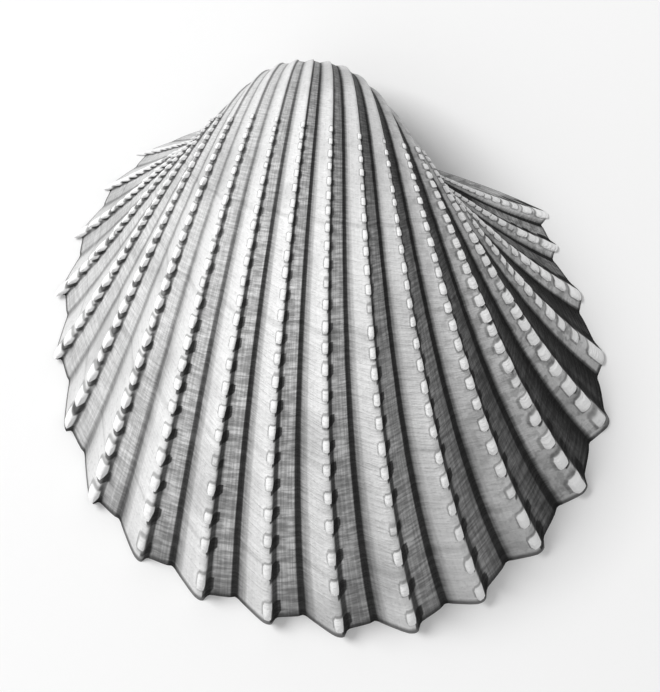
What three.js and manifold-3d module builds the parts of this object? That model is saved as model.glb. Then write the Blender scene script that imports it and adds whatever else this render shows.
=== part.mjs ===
// A cockle valve: one half of a ribbed sea shell, grown as one piece.
// It lies on its rim with the hollow below, the beak towards +Y and the belly edge towards -Y.
// Millimetres, +Z up, origin at the middle of the footprint, on the surface that the rim rests on.

import * as THREE from "three";
import { mergeVertices } from "three/addons/utils/BufferGeometryUtils.js";
import Module from "manifold-3d";

const { degToRad } = THREE.MathUtils;

// Growth. Followed back to the beak, the rim shrinks about the hinge point and turns about the hinge line.
const SHRINK_PER_RADIAN = 0.631;
const BEAK_TURN = 3.1;
const BEAK_TURN_SOFTNESS = 6;
const LAST_RING_TURN = 4.7;
const ROW_SPREAD = 1.5;
const BEAK_LEAN = degToRad(-4.65);
const HINGE_TILT = degToRad(-6.2);

// The rim over its rib tips: degrees round from the belly direction, and distance from the hinge point.
const RIM = [
  [-90, 11.5],
  [-62, 25.4],
  [-40, 37.0],
  [-15, 50.2],
  [3, 54.6],
  [20, 57.1],
  [36, 54.2],
  [54, 47.5],
  [66, 38.0],
  [73, 32.2],
  [80, 29.3],
  [85, 15.5],
  [90, 11.3],
];
const RIM_LONGEST = 57.1;

// Ribs, numbered from a middle one, with some of their angles. They stand closer together towards the wing.
const FIRST_RIB = -10;
const LAST_RIB = 9;
const RIB_ANGLES = [
  [-11.2, -90],
  [-10, -79],
  [-7, -50.8],
  [-3, -14.2],
  [2, 28.2],
  [5, 54],
  [7, 67.9],
  [9, 80],
  [10.6, 90],
];
const RIB_HEIGHT = 1.9;
const WING_TOP_ANGLE = 85;

// Across one rib, in rib spacings from its crest: a groove, a broad left flank, a beaded crest and a step
// down to the long slope that ends in the next groove.
const RIB_SECTION = [
  { across: -0.48, height: 0, bead: 0 },
  { across: -0.11, height: 0.84, bead: 1 },
  { across: 0.03, height: 1, bead: 1 },
  { across: 0.14, height: 0.43, bead: 0 },
];

// Beads along each crest, and the plain rows of the curled beak beyond them. The beads nearest the rim stand
// further apart.
const BEADS_PER_RIB = 20;
const BEAD_TURN = 0.06;
const EDGE_STRETCH = 0.12;
const EDGE_BEADS = 3;
const BEAD_HEIGHT = 0.8;
const CURL_ROWS = 8;

// The hollow: a smaller shell of the same growth. Its hinge point lies further in, behind the hinge plate.
const RIM_WALL = 2.3;
const WING_WALL = 2;
const WING_FROM = 60;
const WING_FULL = 80;
const HINGE_PLATE = 4.5;
const HOLLOW_TURN = 2.2;
const HOLLOW_ROWS = 12;
const RIM_NOTCH = 0.7;
const NOTCH_END = 0.4;
const CUT_BELOW = 2;

// The hinge: a shallow bed in the plate and the teeth that stand in it, all above the resting plane.
const BED = { x: 1.2, y: -4.4, halfLength: 9.4, halfWidth: 2.7, depth: 1.3 };
const TEETH = [
  { x: -1.6, y: -3.5, halfLength: 0.9, halfWidth: 1.3, turn: 12 },
  { x: 1.5, y: -3.8, halfLength: 1.0, halfWidth: 1.5, turn: -14 },
  { x: -6.0, y: -4.1, halfLength: 1.7, halfWidth: 0.8, turn: 18 },
  { x: 8.0, y: -4.4, halfLength: 2.1, halfWidth: 0.9, turn: -10 },
];
const TOOTH_CLEARANCE = 0.15;
const TOOTH_SIDES = 10;
const BED_SEGMENTS = 24;
const JOIN_WITHIN = 1e-3;

const SHELL_COLOUR = 0xd9d8d4;
const X_AXIS = new THREE.Vector3(1, 0, 0);
const Z_AXIS = new THREE.Vector3(0, 0, 1);

const wasm = await Module();
wasm.setup();

// A smooth curve through points with rising x that never swings past them.
function curveThrough(points) {
  const slopes = points.slice(1).map(([x, y], i) => (y - points[i][1]) / (x - points[i][0]));
  const tangents = points.map((_, i) => {
    const before = slopes[Math.max(i - 1, 0)];
    const after = slopes[Math.min(i, slopes.length - 1)];
    return before * after > 0 ? (2 * before * after) / (before + after) : 0;
  });
  return (x) => {
    const next = points.findIndex(([end], i) => i > 0 && x <= end);
    const i = (next < 0 ? points.length - 1 : next) - 1;
    const width = points[i + 1][0] - points[i][0];
    const t = (x - points[i][0]) / width;
    const start = points[i][1] * (1 + 2 * t) + tangents[i] * width * t;
    const end = points[i + 1][1] * (3 - 2 * t) - tangents[i + 1] * width * (1 - t);
    return start * (1 - t) ** 2 + end * t ** 2;
  };
}

const rimDistance = curveThrough(RIM);
const ribAngle = curveThrough(RIB_ANGLES);

// The turn of growth that a number of beads takes, counted from the rim.
function beadTurn(count) {
  return BEAD_TURN * count + EDGE_STRETCH * (1 - Math.exp(-count / EDGE_BEADS));
}

// Ribs are lower where the rim is nearer to the hinge point.
function ribHeight(angle) {
  return RIB_HEIGHT * Math.sqrt(rimDistance(angle) / RIM_LONGEST);
}

// Where a rim point lies once followed back through a turn of growth that ends at endTurn.
function grown(angle, distance, turn, endTurn) {
  const size = Math.exp(-SHRINK_PER_RADIAN * turn);
  const lifted = turn / (1 + (turn / endTurn) ** BEAK_TURN_SOFTNESS) ** (1 / BEAK_TURN_SOFTNESS);
  const round = degToRad(angle);
  const point = new THREE.Vector3(Math.sin(round), -Math.cos(round), 0).multiplyScalar(distance * size);
  point.applyAxisAngle(X_AXIS, -lifted);
  return point.applyAxisAngle(Z_AXIS, BEAK_LEAN * (1 - size));
}

// One closed solid from rings of points, rim first, that close on a pole, with a flat foot at z = -drop.
function ringSolid(rings, pole, drop) {
  const points = [...rings.flat(), pole];
  const width = rings[0].length;
  const last = rings.length - 1;
  const at = (row, column) => row * width + column;
  const triangles = [];
  for (let column = 0; column < width - 1; column += 1) {
    for (let row = 0; row < last; row += 1) {
      const corner = at(row, column);
      const across = at(row, column + 1);
      triangles.push([corner, across, across + width], [corner, across + width, corner + width]);
    }
    triangles.push([at(last, column), at(last, column + 1), points.length - 1]);
  }
  const rows = rings.map((_, row) => row);
  const rim = rings[0].map((_, column) => column);
  const rightSide = rows.slice(1).map((row) => at(row, width - 1));
  const leftSide = rows.slice(1).reverse().map((row) => at(row, 0));
  const edge = [...rim, ...rightSide, points.length - 1, ...leftSide];
  let foot = edge;
  if (drop > 0) {
    foot = edge.map((index) => points.push(points[index].clone().setZ(-drop)) - 1);
    edge.forEach((upper, i) => {
      const next = (i + 1) % edge.length;
      triangles.push([upper, foot[i], foot[next]], [upper, foot[next], edge[next]]);
    });
  }
  const outline = foot.map((index) => new THREE.Vector2(points[index].x, points[index].y));
  for (const [a, b, c] of THREE.ShapeUtils.triangulateShape(outline, [])) {
    triangles.push([foot[a], foot[c], foot[b]]);
  }
  return solidOf(points.flatMap((point) => point.toArray()), triangles.flat());
}

function solidOf(positions, indices) {
  const vertProperties = new Float32Array(positions);
  const triVerts = new Uint32Array(indices);
  return new wasm.Manifold(new wasm.Mesh({ numProp: 3, vertProperties, triVerts }));
}

function ribColumns() {
  const columns = [{ angle: RIM[0][0], height: 0, bead: 0 }];
  for (let number = FIRST_RIB; number <= LAST_RIB; number += 1) {
    for (const { across, height, bead } of RIB_SECTION) {
      columns.push({ angle: ribAngle(number + across), height, bead });
    }
  }
  columns.push({ angle: WING_TOP_ANGLE, height: 1, bead: 0 });
  columns.push({ angle: RIM.at(-1)[0], height: 1, bead: 0 });
  return columns;
}

// The ribbed outside, down to the resting plane. Every other row of the beaded part raises the crests.
function outerSolid() {
  const columns = ribColumns();
  const beadedRows = 2 * BEADS_PER_RIB;
  const beadedTurn = beadTurn(BEADS_PER_RIB);
  const rings = [];
  for (let row = 0; row <= beadedRows + CURL_ROWS; row += 1) {
    const curl = (Math.max(row - beadedRows, 0) / CURL_ROWS) ** ROW_SPREAD;
    const turn = beadTurn(Math.min(row / 2, BEADS_PER_RIB)) + curl * (LAST_RING_TURN - beadedTurn);
    const raised = row < beadedRows && row % 2 === 1 ? BEAD_HEIGHT : 0;
    rings.push(columns.map(({ angle, height, bead }) => {
      const valley = ribHeight(angle) * (1 - height);
      return grown(angle, rimDistance(angle) - valley + raised * bead, turn, BEAK_TURN);
    }));
  }
  return ringSolid(rings, new THREE.Vector3(), 0);
}

// How far the hollow's rim lies inside the rib tips. The wall thickens under the wing.
function hollowInset(angle) {
  return ribHeight(angle) + RIM_WALL + WING_WALL * THREE.MathUtils.smoothstep(angle, WING_FROM, WING_FULL);
}

// The hollow. Only its rim is notched, a groove behind each rib.
function hollowSolid() {
  const reach = RIM_LONGEST - RIB_HEIGHT - RIM_WALL;
  const squeeze = 1 - HINGE_PLATE / reach;
  const pole = new THREE.Vector3(0, -HINGE_PLATE, 0);
  const columns = [{ angle: RIM[0][0], notch: 0 }];
  for (let number = FIRST_RIB; number <= LAST_RIB; number += 1) {
    columns.push({ angle: ribAngle(number), notch: RIM_NOTCH });
    columns.push({ angle: ribAngle(number + NOTCH_END), notch: 0 });
  }
  columns.push({ angle: RIM.at(-1)[0], notch: 0 });
  const rings = [];
  for (let row = 0; row < HOLLOW_ROWS; row += 1) {
    const turn = LAST_RING_TURN * (row / HOLLOW_ROWS) ** ROW_SPREAD;
    rings.push(columns.map(({ angle, notch }) => {
      const round = degToRad(angle);
      const distance = rimDistance(angle) - hollowInset(angle) + notch * Math.max(1 - row, 0);
      const inner = Math.atan2(Math.sin(round), Math.cos(round) * squeeze);
      const reachIn = distance * Math.hypot(Math.sin(round), Math.cos(round) * squeeze);
      return grown(THREE.MathUtils.radToDeg(inner), reachIn, turn, HOLLOW_TURN).add(pole);
    }));
  }
  return ringSolid(rings, pole, CUT_BELOW);
}

function bedSolid() {
  const outline = new THREE.Shape();
  outline.absellipse(BED.x, BED.y, BED.halfLength, BED.halfWidth, 0, 2 * Math.PI);
  const bed = new THREE.ExtrudeGeometry(outline, {
    depth: BED.depth + CUT_BELOW,
    bevelEnabled: false,
    curveSegments: BED_SEGMENTS,
  });
  return solidFrom(bed.translate(0, 0, -CUT_BELOW));
}

// A tooth is a blunt dome hanging from the bed, which stops short of the resting plane.
function toothSolid({ x, y, halfLength, halfWidth, turn }) {
  const height = BED.depth - TOOTH_CLEARANCE;
  const tooth = new THREE.SphereGeometry(1, TOOTH_SIDES, TOOTH_SIDES / 2);
  tooth.rotateX(Math.PI / 2);
  tooth.scale(halfLength, halfWidth, height);
  tooth.rotateZ(degToRad(turn));
  return solidFrom(tooth.translate(x, y, BED.depth));
}

// A solid from a closed three.js geometry, its doubled corner points joined.
function solidFrom(geometry) {
  const bare = new THREE.BufferGeometry();
  bare.setAttribute("position", geometry.attributes.position);
  bare.setIndex(geometry.index);
  const joined = mergeVertices(bare, JOIN_WITHIN);
  const triangles = [];
  for (let i = 0; i < joined.index.count; i += 3) {
    const corners = [0, 1, 2].map((k) => joined.index.getX(i + k));
    if (new Set(corners).size === 3) {
      triangles.push(corners);
    }
  }
  return solidOf(joined.attributes.position.array, triangles.flat());
}

function valveGeometry() {
  let valve = outerSolid().subtract(hollowSolid()).subtract(bedSolid());
  for (const tooth of TEETH) {
    valve = valve.add(toothSolid(tooth));
  }
  const { vertProperties, triVerts } = valve.getMesh();
  const geometry = new THREE.BufferGeometry();
  geometry.setAttribute("position", new THREE.BufferAttribute(new Float32Array(vertProperties), 3));
  geometry.setIndex(new THREE.BufferAttribute(new Uint32Array(triVerts), 1));
  geometry.rotateZ(HINGE_TILT);
  geometry.computeBoundingBox();
  const middle = geometry.boundingBox.getCenter(new THREE.Vector3());
  geometry.translate(-middle.x, -middle.y, 0);
  geometry.computeVertexNormals();
  return geometry;
}

const shellMaterial = new THREE.MeshStandardMaterial({
  color: SHELL_COLOUR,
  roughness: 0.6,
  metalness: 0,
  flatShading: true,
});
const valve = new THREE.Mesh(valveGeometry(), shellMaterial);
valve.name = "valve";

const cockle = new THREE.Group();
cockle.add(valve);

export default cockle;
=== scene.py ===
"""The looks of the cockle valve: a ribbed and beaded outside, a smooth hollow, a pale floor and studio light.

The valve's surface follows a growth spiral. Its rim shrinks about the hinge point and turns about the hinge
line as it is followed back to the beak. Growth is this turn, in radians back from the rim. Lengths in the
shape are millimetres, and the placed mesh is in metres.
"""

import math

import bmesh
import bpy
import numpy as np
from mathutils import Matrix, Vector


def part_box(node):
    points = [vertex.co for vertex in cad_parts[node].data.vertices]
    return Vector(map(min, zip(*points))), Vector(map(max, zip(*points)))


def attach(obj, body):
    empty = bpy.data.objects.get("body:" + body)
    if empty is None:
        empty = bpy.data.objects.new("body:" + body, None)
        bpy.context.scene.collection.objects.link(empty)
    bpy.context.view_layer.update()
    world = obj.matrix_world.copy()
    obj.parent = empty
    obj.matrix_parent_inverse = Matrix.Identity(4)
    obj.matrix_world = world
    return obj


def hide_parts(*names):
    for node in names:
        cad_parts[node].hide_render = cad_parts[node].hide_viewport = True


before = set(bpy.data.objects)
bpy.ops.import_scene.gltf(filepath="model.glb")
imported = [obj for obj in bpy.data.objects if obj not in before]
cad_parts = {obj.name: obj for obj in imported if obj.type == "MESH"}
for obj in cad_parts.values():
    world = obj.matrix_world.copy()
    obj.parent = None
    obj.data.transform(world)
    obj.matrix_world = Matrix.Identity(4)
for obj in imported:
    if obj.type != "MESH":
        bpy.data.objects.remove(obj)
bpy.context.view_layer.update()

MM = 0.001

# Growth
SHRINK_PER_RADIAN = 0.631
BEAK_TURN = 3.1
BEAK_TURN_SOFTNESS = 6
LAST_RING_TURN = 4.7
ROW_SPREAD = 1.5
BEAK_LEAN = math.radians(-4.65)
HINGE_TILT = math.radians(-6.2)

# The rim over its rib tips: degrees round from the belly direction, and distance from the hinge point
RIM = [
    (-90, 11.5),
    (-62, 25.4),
    (-40, 37.0),
    (-15, 50.2),
    (3, 54.6),
    (20, 57.1),
    (36, 54.2),
    (54, 47.5),
    (66, 38.0),
    (73, 32.2),
    (80, 29.3),
    (85, 15.5),
    (90, 11.3),
]
RIM_LONGEST = 57.1

# Ribs, numbered from a middle one, with some of their angles round from the belly direction
FIRST_RIB = -10
LAST_RIB = 9
RIB_COUNT = LAST_RIB - FIRST_RIB + 1
RIB_ANGLES = [
    (-11.2, -90),
    (-10, -79),
    (-7, -50.8),
    (-3, -14.2),
    (2, 28.2),
    (5, 54),
    (7, 67.9),
    (9, 80),
    (10.6, 90),
]
RIB_HEIGHT = 1.9
WING_EDGE = 9.14
WING_TOP = 9.65

# Height across one rib, in rib spacings from its crest
RIB_SECTION = [
    (-0.5, -0.05),
    (-0.46, -0.03),
    (-0.42, 0.07),
    (-0.27, 0.44),
    (-0.14, 0.77),
    (-0.05, 0.96),
    (0.01, 1.0),
    (0.06, 0.93),
    (0.1, 0.6),
    (0.14, 0.43),
    (0.28, 0.26),
    (0.43, 0.09),
    (0.5, -0.05),
]
# The mesh columns of one rib, closest together over the beads
RIB_COLUMNS = (-0.5, -0.47, -0.44, -0.41, -0.34, -0.25, -0.17, -0.12, -0.09, -0.06, -0.03, 0.0, 0.03, 0.06,
               0.085, 0.11, 0.14, 0.22, 0.33, 0.43)
END_COLUMNS = 8

# Beads along each crest, closer together towards the beak, and their mesh rows as shares of one bead's length
BEADS_PER_RIB = 24
BEAD_TURN = 0.06
EDGE_STRETCH = 0.12
EDGE_BEADS = 3
BEAD_STAGGER = 0.3
STAGGER_FULL = 1.5
STAGGER_REACH = 0.25
BEAD_JITTER = 0.07
BEAD_SIZES = (0.7, 1.1)
LOW_BEADS = 0.1
LOW_BEAD_SIZE = 0.5
BEAD_ROWS = np.array([0, 0.2, 0.31, 0.42, 0.54, 0.66, 0.8])
CURL_ROWS = 30

# A bead's form: widths in rib spacings, lengths in bead spacings and its height in millimetres
BEAD_HEIGHT = 0.8
BEAD_MIDDLE = 0.01
BEAD_HALF_WIDTH = 0.08
BEAD_FLAT_SHARE = 0.55
BEAD_HALF_LENGTH = 0.16
BEAD_LONGER_INWARD = 0.06
BEAD_LONGER_FROM = 2
BEAD_LONGER_TO = 10
BEAD_EDGE_OUT = 0.07
BEAD_EDGE_IN = 0.04
# Long scales on the ribs at the left, with a sloping back and rounder sides
SCALE_RIBS = (-2, -5)
SCALE_WIDER = 0.9
SCALE_HIGHER = 0.5
SCALE_LONGER = 0.1
SCALE_BACK_SLOPE = 0.2
SCALE_FLAT_LESS = 0.25
# Broad blocks on the ribs at the right, set over to the left of the crest
BLOCK_RIBS = (2, 5)
BLOCK_WIDER = 1.1
BLOCK_LONGER = 0.1
BLOCK_SHIFT = 0.08
# The painted shadow beside each bead, as its shift across and along
SHADOW_ACROSS = 0.1
SCALE_SHADOW_BACK = 0.08
SHADOW_ALONG = 0.18
SCALE_SHADOW_ALONG = 0.24

# Growth lines: fine swells, as cycles per radian and height, and halts, as turns of growth back from the rim
SWELLS = ((41, 0.05), (97, 0.035))
SWELL_RISE = 0.02
HALTS = (0.16, 0.43, 0.78, 1.12)
HALT_DEPTH = 0.16
HALT_HALF_TURN = 0.012

# The hollow and its rim
RIM_WALL = 2.3
WING_WALL = 2.0
WING_FROM = 60
WING_FULL = 80
HINGE_PLATE = 4.5
HOLLOW_TURN = 2.2
HOLLOW_ROWS = 40
HOLLOW_COLUMNS = 200
RIM_NOTCH = 0.7
NOTCH_FADE = 0.12
CUT_BELOW = 2.0

# The hinge: a shallow bed in the plate, and the teeth that stand in it
BED = {"x": 1.2, "y": -4.4, "half_length": 9.4, "half_width": 2.7}
BED_DEPTH = 1.3
BED_FLOOR_SHARE = 0.86
BED_SIDES = 64
TEETH = [
    {"x": -1.6, "y": -3.5, "half_length": 0.9, "half_width": 1.3, "turn": 12},
    {"x": 1.5, "y": -3.8, "half_length": 1.0, "half_width": 1.5, "turn": -14},
    {"x": -6.0, "y": -4.1, "half_length": 1.7, "half_width": 0.8, "turn": 18},
    {"x": 8.0, "y": -4.4, "half_length": 2.1, "half_width": 0.9, "turn": -10},
]
TOOTH_CLEARANCE = 0.15
TOOTH_SEGMENTS = 24
TOOTH_RINGS = 16

# Edges that turn by more than this stay sharp in the shading
SHARP_ANGLE = math.radians(60)

# Greys across one rib on the outside, from the groove before it to the groove after, its crest in the middle.
# Light and shade are painted into them: the flank away from the light at the left is darker, the left ribs'
# greys are paler and the right ribs' greys darker
LIT_LEFT_GREYS = [
    (0.0, 0.36),
    (0.05, 0.4),
    (0.09, 0.58),
    (0.14, 0.66),
    (0.42, 0.72),
    (0.56, 0.72),
    (0.585, 0.32),
    (0.645, 0.36),
    (0.68, 0.76),
    (0.95, 0.72),
    (1.0, 0.36),
]
MIDDLE_GREYS = [
    (0.0, 0.04),
    (0.045, 0.05),
    (0.07, 0.42),
    (0.16, 0.5),
    (0.2, 0.78),
    (0.42, 0.86),
    (0.56, 0.84),
    (0.585, 0.09),
    (0.64, 0.11),
    (0.67, 0.8),
    (0.935, 0.74),
    (0.955, 0.05),
    (1.0, 0.04),
]
SHADED_RIGHT_GREYS = [
    (0.0, 0.015),
    (0.05, 0.015),
    (0.09, 0.2),
    (0.13, 0.56),
    (0.42, 0.66),
    (0.56, 0.68),
    (0.585, 0.03),
    (0.66, 0.03),
    (0.73, 0.07),
    (0.84, 0.03),
    (1.0, 0.015),
]
WING_GREY = 0.8
BEAD_GREY = 0.88
# The ribs between which each of these looks comes in
LEFT_RIBS = (-2.3, -5.3)
RIGHT_RIBS = (-1.0, 5.0)
WING_RIBS = (6.4, 8.4)
CORNER_RIBS = (5.0, 6.5)
LUMPY_RIBS = (1.0, 5.0)
MARGIN_RIBS = (3.0, -1.0)
PAST_FIRST_RIB = (FIRST_RIB - 0.5, FIRST_RIB - 0.56)
PAST_LAST_RIB = (LAST_RIB + 0.07, LAST_RIB + 0.13)
# The growth between which each of these comes in
BEAK_GROWTH = (0.7, 1.7)
WING_GROWTH = (0.6, 0.3)
CORNER_GROWTH = (0.45, 0.8)
MARGIN_GROWTH = (0.16, 0.02)
RIM_EDGE_GROWTH = (0.018, 0.006)
# The shadows painted beside the beads fade over this growth towards the beak
SHADOW_FADE_GROWTH = (0.4, 1.2)
# How many ribs the left look's painted light and the right look's painted shade move over, the first with
# growth and the second at the beak
LEFT_MOVES = -1.2
RIGHT_MOVES = 2.2
# The share of the tone that each mark takes away
# Of these, the marks round each bead's foot, beside each bead, on the umbo's right side and along the left
# rim are painted shade
RING_SHARE = 0.5
RAY_SHARE = 0.28
BLOTCH_SHARE = 0.22
LUMP_SHARE = 0.36
CORNER_SHADE_SHARE = 0.35
MARGIN_SHADE_SHARE = 0.35
GRAIN_SHARE = 0.14
HALT_SHARE = 0.16
BEAD_FOOT_SHADE_SHARE = 0.45
BEAD_SHADOW_SHARE = 0.88
RIM_EDGE_SHARE = 0.75
# The share of a look that is missing: the right one's painted shade on the wing, lines and painted bead
# shadows at the left, painted bead shadows at the beak
WING_SPARED = 0.8
LEFT_LINES_SPARED = 0.55
LEFT_SHADOW_SPARED = 0.15
BEAK_SHADOW_SPARED = 0.35
# The values of its noise, or of its field on the mesh, between which each mark comes in
RING_NOISE = (0.66, 0.36)
RAY_NOISE = (0.6, 0.42)
BLOTCH_NOISE = (0.48, 0.7)
LUMP_NOISE = (0.52, 0.4)
GRAIN_NOISE = (0.5, 0.75)
# The bead values bound the painted shade round each bead's foot and the painted shadow beside it
BEAD_FOOT = (0.02, 0.16)
BEAD_FOOT_END = (0.42, 0.22)
BEAD_TOP = (0.28, 0.45)
BEAD_SHADOW_FIELD = (0.12, 0.4)
# How far a halt's dark line wavers, and its reach to either side, as growth
HALT_WAVER = 0.02
HALT_REACH = (0.014, 0.002)
# Noise cells: of rings and rays per rib and per radian, and of the others per metre
RING_CELLS = (2.2, 95.0)
RAY_CELLS = (26.0, 7.0)
RAY_LAYER = 5.0
BLOTCH_CELLS = 110.0
LUMP_CELLS = 850.0
GRAIN_CELLS = 2600.0
# Gloss, and the depth of the finest relief in metres
OUTSIDE_ROUGHNESS = 0.56
RING_ROUGHER = 0.15
OUTSIDE_SPECULAR = 0.22
RING_RELIEF = -0.6
GRAIN_RELIEF = 0.5
OUTSIDE_BUMP = {"strength": 0.5, "depth": 0.00025}
# Where the fine lines show across one rib
LINED_PARTS = [
    (0.0, 1.0),
    (0.1, 0.6),
    (0.14, 0.2),
    (0.55, 0.14),
    (0.6, 0.6),
    (0.68, 1.0),
    (1.0, 1.0),
]

# The inside: the line where the mantle held on, as growth, and the muscle scars, in metres
MANTLE_LINE = (0.3, 0.36)
MANTLE_LINE_END = (0.42, 0.35)
MANTLE_LINE_SHARE = 0.25
SCAR_PLACES = ((-0.016, 0.011), (0.017, 0.008))
SCAR_RADIUS = 0.005
SCAR_SQUEEZE = 0.75
SCAR_CORE = 0.8
SCAR_SHARE = 0.2
BAND_CELLS = 14.0
CLOUD_CELLS = 70.0
CLOUD_WAVER = 0.04
INSIDE_GREY = 0.6
BAND_LIGHTER = 0.2
INSIDE_ROUGHNESS = 0.5
DEEP_ROUGHER = -0.25
INSIDE_BUMP = {"strength": 0.15, "depth": 0.0003}

# The rim's layers
RIM_CELLS = 900.0
RIM_GREY = 0.5
LAYER_LIGHTER = 0.25
RIM_ROUGHNESS = 0.4
LAYER_ROUGHER = 0.2
RIM_BUMP = {"strength": 0.2, "depth": 0.0002}

# The floor, with half its side in metres
FLOOR_HALF = 3.0
FLOOR_CELLS = 3.0
FLOOR_GREY = 0.86
FLOOR_CLOUD_LIGHTER = 0.02
FLOOR_ROUGHNESS = 0.9

# The photograph's view: its frame, its scale and the hinge point's place in it, in pixels
PHOTO_WIDTH, PHOTO_HEIGHT = 660, 692
MM_PER_PIXEL = 0.112
HINGE_POINT_PIXEL = (294.9, 140.0)
VIEW_LEAN = math.radians(6.45)
LENS = 500.0
SENSOR = 36.0
CLIP_SHARES = (0.05, 20)

# The light, in metres and watts
KEY_PLACE = (-0.45, 0.28, 0.55)
KEY_SIZE = 0.3
KEY_POWER = 4.5
SKY_STRENGTH = 0.56

SEED = 7
rng = np.random.default_rng(SEED)
bead_sizes = rng.uniform(*BEAD_SIZES, (RIB_COUNT, BEADS_PER_RIB))
bead_sizes[rng.random(bead_sizes.shape) < LOW_BEADS] *= LOW_BEAD_SIZE
bead_places = rng.uniform(-BEAD_JITTER, BEAD_JITTER, bead_sizes.shape)
bead_shifts = rng.uniform(-BEAD_STAGGER, BEAD_STAGGER, RIB_COUNT)


def smoothstep(low, high, value):
    t = np.clip((value - low) / (high - low), 0, 1)
    return t * t * (3 - 2 * t)


def curve_through(points):
    """A smooth curve through points with rising x that never swings past them."""
    x, y = np.array(points, float).T
    slope = np.diff(y) / np.diff(x)
    before = np.concatenate([slope[:1], slope])
    after = np.concatenate([slope, slope[-1:]])
    product = before * after
    tangent = np.where(product > 0, 2 * product / np.where(product > 0, before + after, 1), 0)

    def at(value):
        i = np.clip(np.searchsorted(x, value) - 1, 0, len(x) - 2)
        width = x[i + 1] - x[i]
        t = np.clip((value - x[i]) / width, 0, 1)
        start = y[i] * (1 + 2 * t) + tangent[i] * width * t
        end = y[i + 1] * (3 - 2 * t) - tangent[i + 1] * width * (1 - t)
        return start * (1 - t) ** 2 + end * t ** 2

    return at


rim_distance = curve_through(RIM)
rib_angle = curve_through(RIB_ANGLES)
rib_section = curve_through(RIB_SECTION)


def rib_height(angle):
    """Ribs are lower where the rim is nearer to the hinge point."""
    return RIB_HEIGHT * np.sqrt(rim_distance(angle) / RIM_LONGEST)


def grown(angle, distance, turn, end_turn):
    """Points of the rim followed back through a turn of growth that ends at end_turn."""
    size = np.exp(-SHRINK_PER_RADIAN * turn)
    lifted = turn / (1 + (turn / end_turn) ** BEAK_TURN_SOFTNESS) ** (1 / BEAK_TURN_SOFTNESS)
    across = distance * np.sin(np.radians(angle)) * size
    along = -distance * np.cos(np.radians(angle)) * size
    lean = BEAK_LEAN * (1 - size)
    level = along * np.cos(lifted)
    return np.stack([
        across * np.cos(lean) - level * np.sin(lean),
        across * np.sin(lean) + level * np.cos(lean),
        -along * np.sin(lifted),
    ], axis=-1)


def rib_columns():
    """Rib numbers of the mesh columns from one end of the hinge line to the other."""
    ribs = [number + across for number in range(FIRST_RIB, LAST_RIB + 1) for across in RIB_COLUMNS]
    before = np.linspace(RIB_ANGLES[0][0], ribs[0], END_COLUMNS, endpoint=False)
    after = np.linspace(ribs[-1], RIB_ANGLES[-1][0], END_COLUMNS + 1)[1:]
    return np.concatenate([before, ribs, after])


def bead_turn(count):
    """The turn of growth that a number of beads takes, counted from the rim."""
    return BEAD_TURN * count + EDGE_STRETCH * (1 - np.exp(-count / EDGE_BEADS))


def bead_grid(rib):
    """The bead count and the turn of growth of each mesh point, row by row from the rim to the beak."""
    count = (np.arange(BEADS_PER_RIB)[:, None] + BEAD_ROWS).ravel()
    count = np.append(count, BEADS_PER_RIB)[:, None]
    numbers = np.arange(FIRST_RIB, LAST_RIB + 1)
    knots = np.stack([numbers - STAGGER_REACH, numbers + STAGGER_REACH], axis=1).ravel()
    shift = np.interp(rib, knots, np.repeat(bead_shifts, 2))
    turn = bead_turn(count + shift * smoothstep(0, STAGGER_FULL, count))
    curl = np.linspace(0, 1, CURL_ROWS + 1)[1:, None] ** ROW_SPREAD
    beak = turn[-1:] + curl * (LAST_RING_TURN - turn[-1:])
    past_last = np.full_like(curl, BEADS_PER_RIB + 1)
    return np.concatenate([count, past_last]), np.concatenate([turn, beak])


def scale_share(number):
    """How far a rib carries long scales, as on the left, and not round beads."""
    return smoothstep(*SCALE_RIBS, number)


def block_share(number):
    """How far a rib carries broad blocks, as on the right, and not round beads."""
    return smoothstep(*BLOCK_RIBS, number)


def bead_field(rib, count):
    """How far each point stands up on a bead, from 0 to about 1."""
    number = np.clip(np.round(rib), FIRST_RIB, LAST_RIB).astype(int)
    scale = scale_share(number)
    block = block_share(number)
    half_width = BEAD_HALF_WIDTH * (1 + SCALE_WIDER * scale + BLOCK_WIDER * block)
    across = np.abs(rib - number - BEAD_MIDDLE + BLOCK_SHIFT * block) / half_width
    index = np.clip(np.floor(count), 0, BEADS_PER_RIB - 1).astype(int)
    along = count - index - 0.5 - bead_places[number - FIRST_RIB, index]
    half = BEAD_HALF_LENGTH + BEAD_LONGER_INWARD * smoothstep(BEAD_LONGER_FROM, BEAD_LONGER_TO, index)
    half = half + BLOCK_LONGER * block + SCALE_LONGER * scale
    front = smoothstep(-half - BEAD_EDGE_OUT, -half + BEAD_EDGE_IN, along)
    back = 1 - smoothstep(half - BEAD_EDGE_IN - SCALE_BACK_SLOPE * scale, half + BEAD_EDGE_OUT, along)
    sides = 1 - smoothstep(BEAD_FLAT_SHARE - SCALE_FLAT_LESS * scale, 1, across)
    shown = (count >= 0) & (count < BEADS_PER_RIB)
    return np.where(shown, front * back * sides * bead_sizes[number - FIRST_RIB, index], 0)


def bead_shadow_field(rib, count, bead):
    """Where each bead's painted shadow falls, beside it on the side of the rim and of the wing."""
    scale = scale_share(np.round(rib))
    across = rib - SHADOW_ACROSS + SCALE_SHADOW_BACK * scale
    behind = bead_field(across, count + SHADOW_ALONG + SCALE_SHADOW_ALONG * scale)
    return np.clip(behind - bead, 0, 1)


def growth_relief(turn):
    """Growth lines round the valve: fine swells and a few halts, in millimetres."""
    swell = np.zeros_like(turn)
    for cycles, height in SWELLS:
        swell += height * np.sin(turn * cycles + rng.uniform(0, 2 * np.pi))
    for halt in HALTS:
        swell -= HALT_DEPTH * np.exp(-((turn - halt) / HALT_HALF_TURN) ** 2)
    return swell


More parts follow.
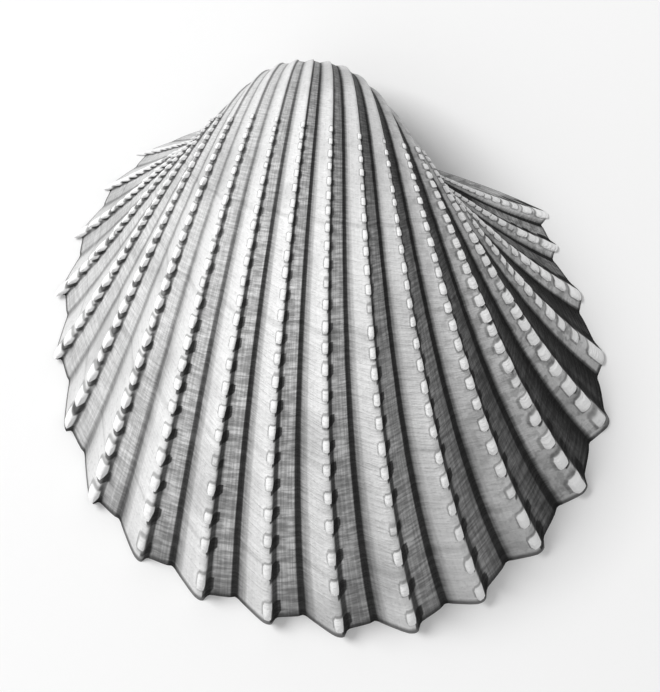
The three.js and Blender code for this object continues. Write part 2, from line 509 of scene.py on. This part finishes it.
def ring_mesh(name, points, pole, drop, attributes):
    """A closed mesh from rings of points, rim first, that close on a pole, with a flat foot at z = -drop."""
    rows, width = points.shape[:2]
    vertices = [*points.reshape(-1, 3), np.array(pole)]
    last = len(vertices) - 1
    corner = (np.arange(rows - 1)[:, None] * width + np.arange(width - 1)).ravel()
    faces = np.stack([corner, corner + 1, corner + 1 + width, corner + width], axis=1).tolist()
    top = (rows - 1) * width
    faces += [[top + k, top + k + 1, last] for k in range(width - 1)]
    right = [row * width + width - 1 for row in range(1, rows)]
    left = [row * width for row in range(rows - 1, 0, -1)]
    edge = [*range(width), *right, last, *left]
    if drop:
        foot = list(range(len(vertices), len(vertices) + len(edge)))
        vertices += [np.array([*vertices[k][:2], -drop]) for k in edge]
        for k, upper in enumerate(edge):
            after = (k + 1) % len(edge)
            faces.append([upper, foot[k], foot[after], edge[after]])
        edge = foot
    faces.append(edge[::-1])
    mesh = bpy.data.meshes.new(name)
    mesh.from_pydata([tuple(v) for v in vertices], [], faces)
    for key, values in attributes.items():
        full = np.zeros(len(vertices), np.float32)
        full[:rows * width] = values.ravel()
        mesh.attributes.new(key, "FLOAT", "POINT").data.foreach_set("value", full)
    return mesh


def outside_mesh():
    """The ribbed and beaded outside, down to the resting plane."""
    rib = rib_columns()[None, :]
    count, turn = bead_grid(rib)
    rib, count, turn = np.broadcast_arrays(rib, count, turn)
    angle = rib_angle(rib)
    number = np.clip(np.round(rib), FIRST_RIB, LAST_RIB)
    section = rib_section(np.clip(rib - number, -0.5, 0.5))
    valley = (1 - section) * (1 - smoothstep(WING_EDGE, WING_TOP, rib))
    bead = bead_field(rib, count)
    relief = growth_relief(turn) * smoothstep(0, SWELL_RISE, turn)
    raised = BEAD_HEIGHT * (1 + SCALE_HIGHER * scale_share(number)) * bead
    distance = rim_distance(angle) - rib_height(angle) * valley + raised + relief
    points = grown(angle, distance, turn, BEAK_TURN)
    # One attribute marks where each bead's shadow is painted beside it
    attributes = {"rib": rib, "growth": turn, "bead": bead, "bead_shadow": bead_shadow_field(rib, count, bead)}
    return ring_mesh("outside", points, (0, 0, 0), 0, attributes)


def hollow_mesh():
    """The hollow: a smaller shell of the same growth behind the hinge plate, notched only at its rim."""
    rib = np.linspace(RIB_ANGLES[0][0], RIB_ANGLES[-1][0], HOLLOW_COLUMNS)[None, :]
    turn = LAST_RING_TURN * (np.arange(HOLLOW_ROWS) / HOLLOW_ROWS)[:, None] ** ROW_SPREAD
    rib, turn = np.broadcast_arrays(rib, turn)
    angle = rib_angle(rib)
    inset = rib_height(angle) + RIM_WALL + WING_WALL * smoothstep(WING_FROM, WING_FULL, angle)
    notch = RIM_NOTCH * (0.5 + 0.5 * np.cos(2 * np.pi * rib)) * (1 - smoothstep(0, NOTCH_FADE, turn))
    distance = rim_distance(angle) - inset + notch
    squeeze = 1 - HINGE_PLATE / (RIM_LONGEST - RIB_HEIGHT - RIM_WALL)
    across = np.sin(np.radians(angle))
    along = np.cos(np.radians(angle)) * squeeze
    inner = np.degrees(np.arctan2(across, along))
    pole = (0, -HINGE_PLATE, 0)
    points = grown(inner, distance * np.hypot(across, along), turn, HOLLOW_TURN) + pole
    return ring_mesh("hollow", points, pole, CUT_BELOW, {"rib": rib, "growth": turn})


def bed_mesh():
    """The pocket under the hinge plate, an oval with sloping sides."""
    shape = bmesh.new()
    depth = BED_DEPTH + CUT_BELOW
    form = {"segments": BED_SIDES, "radius1": 1, "radius2": BED_FLOOR_SHARE, "depth": depth}
    bmesh.ops.create_cone(shape, cap_ends=True, **form)
    middle = Vector((BED["x"], BED["y"], BED_DEPTH - depth / 2))
    size = Matrix.Diagonal((BED["half_length"], BED["half_width"], 1, 1))
    shape.transform(Matrix.Translation(middle) @ size)
    return mesh_from("bed", shape)


def tooth_mesh(x, y, half_length, half_width, turn):
    """A blunt dome that hangs from the bed and stops short of the resting plane."""
    shape = bmesh.new()
    bmesh.ops.create_uvsphere(shape, u_segments=TOOTH_SEGMENTS, v_segments=TOOTH_RINGS, radius=1)
    size = Matrix.Diagonal((half_length, half_width, BED_DEPTH - TOOTH_CLEARANCE, 1))
    turned = Matrix.Rotation(math.radians(turn), 4, "Z")
    shape.transform(Matrix.Translation((x, y, BED_DEPTH)) @ turned @ size)
    return mesh_from("tooth", shape)


def mesh_from(name, shape):
    mesh = bpy.data.meshes.new(name)
    shape.to_mesh(mesh)
    shape.free()
    return mesh


def linked(name, data):
    made = bpy.data.objects.new(name, data)
    bpy.context.scene.collection.objects.link(made)
    return made


def combine(piece, mesh, operation, material):
    """Cuts a mesh from a piece or joins it on, with its own material."""
    mesh.materials.append(material)
    tool = linked("tool", mesh)
    step = piece.modifiers.new("combine", "BOOLEAN")
    step.operation = operation
    step.solver = "MANIFOLD"
    step.object = tool
    step.material_mode = "TRANSFER"
    bpy.context.view_layer.objects.active = piece
    bpy.ops.object.modifier_apply(modifier=step.name)
    bpy.data.objects.remove(tool)


def place(mesh, box):
    """Turns the valve to its tilt, in metres, and centres it on the box. Gives the hinge point's place."""
    points = np.empty(len(mesh.vertices) * 3, np.float32)
    mesh.vertices.foreach_get("co", points)
    x, y, z = points.reshape(-1, 3).T
    c, s = math.cos(HINGE_TILT), math.sin(HINGE_TILT)
    turned = np.stack([c * x - s * y, s * x + c * y, z], axis=1) * MM
    middle = (turned.min(axis=0) + turned.max(axis=0)) / 2
    low, high = box
    shift = np.array([(low.x + high.x) / 2 - middle[0], (low.y + high.y) / 2 - middle[1], 0])
    mesh.vertices.foreach_set("co", (turned + shift).astype(np.float32).ravel())
    mesh.update()
    return Vector(shift)


class Finish:
    """A material, with short calls that add its nodes."""

    def __init__(self, name):
        self.material = bpy.data.materials.new(name)
        self.material.use_nodes = True
        self.tree = self.material.node_tree
        self.shader = self.tree.nodes["Principled BSDF"]

    def put(self, socket, value):
        """Links an output to a socket, or sets a plain value on it."""
        if isinstance(value, bpy.types.NodeSocket):
            self.tree.links.new(value, socket)
        else:
            socket.default_value = value

    def node(self, kind, inputs, **settings):
        made = self.tree.nodes.new(kind)
        for key, value in settings.items():
            setattr(made, key, value)
        for key, value in inputs.items():
            self.put(made.inputs[key], value)
        return made

    def surface(self, **inputs):
        for name, value in inputs.items():
            self.put(self.shader.inputs[name.replace("_", " ").title()], value)

    def attribute(self, name):
        return self.node("ShaderNodeAttribute", {}, attribute_name=name).outputs["Fac"]

    def math(self, operation, *values):
        return self.node("ShaderNodeMath", dict(enumerate(values)), operation=operation).outputs[0]

    def rise(self, value, low, high):
        """From 0 at low to 1 at high, smoothly."""
        inputs = {"Value": value, "From Min": low, "From Max": high}
        return self.node("ShaderNodeMapRange", inputs, interpolation_type="SMOOTHSTEP").outputs["Result"]

    def greys(self, value, stops):
        made = self.node("ShaderNodeValToRGB", {"Fac": value})
        elements = made.color_ramp.elements
        for end in (0, -1):
            position, grey = stops[end]
            elements[end].position = position
            elements[end].color = (grey, grey, grey, 1)
        for position, grey in stops[1:-1]:
            elements.new(position).color = (grey, grey, grey, 1)
        return made.outputs["Color"]

    def noise(self, place_at, scale, detail, roughness=0.5):
        inputs = {"Vector": place_at, "Scale": scale, "Detail": detail, "Roughness": roughness}
        return self.node("ShaderNodeTexNoise", inputs).outputs["Fac"]

    def spot(self, x, y, z=0.0):
        return self.node("ShaderNodeCombineXYZ", {"X": x, "Y": y, "Z": z}).outputs[0]

    def grown_spot(self, rib, growth, cells, layer=0.0):
        """A noise place that follows the ribs and the growth, with so many cells of each."""
        return self.spot(self.math("MULTIPLY", rib, cells[0]), self.math("MULTIPLY", growth, cells[1]), layer)

    def place(self):
        return self.node("ShaderNodeTexCoord", {}).outputs["Object"]

    def darker(self, tone, mask, share):
        """The tone with a share of it taken away where the mask is 1."""
        return self.math("MULTIPLY", tone, self.math("MULTIPLY_ADD", mask, -share, 1.0))

    def towards(self, tone, target, mask):
        """The tone moved to the target where the mask is 1."""
        inputs = {0: mask, 2: tone, 3: target}
        return self.node("ShaderNodeMix", inputs, data_type="FLOAT").outputs[0]

    def bump(self, height, strength, depth):
        inputs = {"Height": height, "Strength": strength, "Distance": depth}
        return self.node("ShaderNodeBump", inputs).outputs["Normal"]


def rib_tone(finish, rib, growth, across, left):
    """The greys across the ribs, from the pale left through the middle to the dark right, and the wing:
    painted light and shade, as from a light at the left.
    """
    tone = finish.greys(across, MIDDLE_GREYS)
    # Painted light: the left ribs take paler greys, as lit from the left
    tone = finish.towards(tone, finish.greys(across, LIT_LEFT_GREYS), left)
    # Painted shade: the right ribs take darker greys, as away from the light, less so on the wing
    moved = finish.math("MULTIPLY_ADD", finish.rise(growth, *BEAK_GROWTH), RIGHT_MOVES, rib)
    wing = finish.math("MULTIPLY", finish.rise(rib, *WING_RIBS), finish.rise(growth, *WING_GROWTH))
    right = finish.darker(finish.rise(moved, *RIGHT_RIBS), wing, WING_SPARED)
    tone = finish.towards(tone, finish.greys(across, SHADED_RIGHT_GREYS), right)
    for end in (PAST_FIRST_RIB, PAST_LAST_RIB):
        tone = finish.towards(tone, WING_GREY, finish.rise(rib, *end))
    return tone


def bead_tone(finish, tone, growth, left):
    """The tone with white beads, each with painted shade round its foot and a painted shadow beside it."""
    bead = finish.attribute("bead")
    # Painted shade round the foot of each bead
    edge = finish.math("MULTIPLY", finish.rise(bead, *BEAD_FOOT), finish.rise(bead, *BEAD_FOOT_END))
    tone = finish.darker(tone, edge, BEAD_FOOT_SHADE_SHARE)
    tone = finish.towards(tone, BEAD_GREY, finish.rise(bead, *BEAD_TOP))
    # A shadow painted beside each bead, fainter towards the beak and on the left ribs
    painted_shadow = finish.rise(finish.attribute("bead_shadow"), *BEAD_SHADOW_FIELD)
    painted_shadow = finish.darker(painted_shadow, finish.rise(growth, *SHADOW_FADE_GROWTH), BEAK_SHADOW_SPARED)
    painted_shadow = finish.darker(painted_shadow, left, LEFT_SHADOW_SPARED)
    return finish.darker(tone, painted_shadow, BEAD_SHADOW_SHARE)


def outside_finish():
    """Chalky ribs, fine growth lines and white beads, with light and shade painted on: pale flanks and a pale
    left side towards the light, dark grooves, dark flanks and a dark right side away from it, and a shadow
    beside each bead.
    """
    finish = Finish("shell_outside")
    rib = finish.attribute("rib")
    growth = finish.attribute("growth")
    across = finish.math("FRACT", finish.math("ADD", rib, 0.5))
    where = finish.place()
    # Where the left ribs are painted paler, as lit from the left, with fainter lines and bead shadows
    left = finish.rise(finish.math("MULTIPLY_ADD", growth, LEFT_MOVES, rib), *LEFT_RIBS)

    ring_place = finish.grown_spot(rib, growth, RING_CELLS)
    rings = finish.rise(finish.noise(ring_place, 1.0, 3.0, 0.6), *RING_NOISE)
    ray_place = finish.grown_spot(rib, growth, RAY_CELLS, RAY_LAYER)
    rays = finish.rise(finish.noise(ray_place, 1.0, 2.0), *RAY_NOISE)
    lined = finish.darker(finish.greys(across, LINED_PARTS), left, LEFT_LINES_SPARED)
    blotches = finish.noise(where, BLOTCH_CELLS, 3.0)
    grains = finish.noise(where, GRAIN_CELLS, 2.0)
    lumps = finish.rise(finish.noise(where, LUMP_CELLS, 2.0), *LUMP_NOISE)
    # Painted shade on the right side of the umbo, part way to the beak
    corner = finish.math("MULTIPLY", finish.rise(rib, *CORNER_RIBS), finish.rise(growth, *CORNER_GROWTH))
    # Painted shade along the rim from the middle to the left, as cast by the scales
    margin_shade = finish.math("MULTIPLY", finish.rise(growth, *MARGIN_GROWTH), finish.rise(rib, *MARGIN_RIBS))

    tone = rib_tone(finish, rib, growth, across, left)
    tone = finish.darker(tone, finish.math("MULTIPLY", rings, lined), RING_SHARE)
    tone = finish.darker(tone, finish.math("MULTIPLY", rays, lined), RAY_SHARE)
    tone = finish.darker(tone, finish.rise(blotches, *BLOTCH_NOISE), BLOTCH_SHARE)
    tone = finish.darker(tone, finish.math("MULTIPLY", lumps, finish.rise(rib, *LUMPY_RIBS)), LUMP_SHARE)
    tone = finish.darker(tone, corner, CORNER_SHADE_SHARE)
    tone = finish.darker(tone, finish.math("MULTIPLY", margin_shade, lined), MARGIN_SHADE_SHARE)
    tone = finish.darker(tone, finish.rise(grains, *GRAIN_NOISE), GRAIN_SHARE)
    wavering = finish.math("MULTIPLY_ADD", blotches, HALT_WAVER, growth)
    for halt in HALTS:
        apart = finish.math("ABSOLUTE", finish.math("SUBTRACT", wavering, halt + HALT_WAVER / 2))
        tone = finish.darker(tone, finish.rise(apart, *HALT_REACH), HALT_SHARE)
    tone = bead_tone(finish, tone, growth, left)
    tone = finish.darker(tone, finish.rise(growth, *RIM_EDGE_GROWTH), RIM_EDGE_SHARE)

    relief = finish.math("MULTIPLY_ADD", rings, RING_RELIEF, finish.math("MULTIPLY", grains, GRAIN_RELIEF))
    finish.put(finish.shader.inputs["Specular IOR Level"], OUTSIDE_SPECULAR)
    finish.surface(
        base_color=tone,
        roughness=finish.math("MULTIPLY_ADD", rings, RING_ROUGHER, OUTSIDE_ROUGHNESS),
        normal=finish.bump(relief, **OUTSIDE_BUMP),
    )
    return finish.material


def inside_finish():
    """Smooth porcelain: pale, faintly banded, glossier behind the mantle's line, with two muscle scars."""
    finish = Finish("shell_inside")
    growth = finish.attribute("growth")
    where = finish.place()
    clouds = finish.noise(where, CLOUD_CELLS, 3.0)
    bands = finish.noise(finish.spot(finish.math("MULTIPLY", growth, BAND_CELLS), clouds), 1.0, 2.0)
    deep = finish.rise(finish.math("MULTIPLY_ADD", clouds, CLOUD_WAVER, growth), *MANTLE_LINE)
    line = finish.math("MULTIPLY", deep, finish.rise(growth, *MANTLE_LINE_END))
    grey = finish.math("MULTIPLY_ADD", bands, BAND_LIGHTER, INSIDE_GREY)
    grey = finish.darker(grey, line, MANTLE_LINE_SHARE)
    parts = finish.node("ShaderNodeSeparateXYZ", {"Vector": where}).outputs
    for x, y in SCAR_PLACES:
        level = finish.math("SUBTRACT", parts["X"], x)
        upright = finish.math("MULTIPLY", finish.math("SUBTRACT", parts["Y"], y), SCAR_SQUEEZE)
        squares = [finish.math("POWER", side, 2.0) for side in (level, upright)]
        reach = finish.math("SQRT", finish.math("ADD", *squares))
        grey = finish.darker(grey, finish.rise(reach, SCAR_RADIUS, SCAR_RADIUS * SCAR_CORE), SCAR_SHARE)
    finish.surface(
        base_color=grey,
        roughness=finish.math("MULTIPLY_ADD", deep, DEEP_ROUGHER, INSIDE_ROUGHNESS),
        normal=finish.bump(bands, **INSIDE_BUMP),
    )
    return finish.material


def rim_finish():
    """The rim's own edge, paler than the outside and finely layered."""
    finish = Finish("shell_rim")
    layers = finish.noise(finish.place(), RIM_CELLS, 3.0)
    finish.surface(
        base_color=finish.math("MULTIPLY_ADD", layers, LAYER_LIGHTER, RIM_GREY),
        roughness=finish.math("MULTIPLY_ADD", layers, LAYER_ROUGHER, RIM_ROUGHNESS),
        normal=finish.bump(layers, **RIM_BUMP),
    )
    return finish.material


def floor_finish():
    finish = Finish("floor")
    clouds = finish.noise(finish.place(), FLOOR_CELLS, 2.0)
    grey = finish.math("MULTIPLY_ADD", clouds, FLOOR_CLOUD_LIGHTER, FLOOR_GREY)
    finish.surface(base_color=grey, roughness=FLOOR_ROUGHNESS)
    return finish.material


def make_valve():
    """The whole valve as one closed mesh, and the place of its hinge point."""
    inside = inside_finish()
    valve = linked("valve_shell", outside_mesh())
    valve.data.materials.append(outside_finish())
    valve.data.materials.append(rim_finish())
    valve.data.polygons[-1].material_index = 1
    combine(valve, hollow_mesh(), "DIFFERENCE", inside)
    combine(valve, bed_mesh(), "DIFFERENCE", inside)
    for tooth in TEETH:
        combine(valve, tooth_mesh(**tooth), "UNION", inside)
    hinge_point = place(valve.data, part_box("valve"))
    for polygon in valve.data.polygons:
        polygon.use_smooth = True
    valve.data.set_sharp_from_angle(angle=SHARP_ANGLE)
    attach(valve, "root")
    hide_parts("valve")
    return hinge_point


def make_camera(hinge_point):
    data = bpy.data.cameras.new("camera")
    data.lens = LENS
    data.sensor_width = SENSOR
    height = PHOTO_HEIGHT * MM_PER_PIXEL * MM
    away = height * LENS / SENSOR
    right = (PHOTO_WIDTH / 2 - HINGE_POINT_PIXEL[0]) * MM_PER_PIXEL * MM
    down = (PHOTO_HEIGHT / 2 - HINGE_POINT_PIXEL[1]) * MM_PER_PIXEL * MM
    target = hinge_point + Vector((right, -down / math.cos(VIEW_LEAN), 0))
    back = Vector((0, -math.sin(VIEW_LEAN), math.cos(VIEW_LEAN)))
    data.clip_start, data.clip_end = (away * share for share in CLIP_SHARES)
    camera = linked("camera", data)
    camera.location = target + back * away
    camera.rotation_euler = (VIEW_LEAN, 0, 0)
    bpy.context.scene.camera = camera


def make_stage():
    mesh = bpy.data.meshes.new("floor")
    corners = [(-1, -1), (1, -1), (1, 1), (-1, 1)]
    mesh.from_pydata([(x * FLOOR_HALF, y * FLOOR_HALF, 0) for x, y in corners], [], [range(len(corners))])
    floor = linked("floor", mesh)
    mesh.materials.append(floor_finish())


def make_light():
    data = bpy.data.lights.new("key", "AREA")
    data.size = KEY_SIZE
    data.energy = KEY_POWER
    key = linked("key", data)
    key.location = KEY_PLACE
    key.rotation_euler = (-Vector(KEY_PLACE)).to_track_quat("-Z", "Y").to_euler()
    world = bpy.data.worlds.new("studio")
    bpy.context.scene.world = world
    world.use_nodes = True
    world.node_tree.nodes["Background"].inputs["Color"].default_value = (1, 1, 1, 1)
    world.node_tree.nodes["Background"].inputs["Strength"].default_value = SKY_STRENGTH
    bpy.context.scene.view_settings.view_transform = "Standard"


make_camera(make_valve())
make_stage()
make_light()
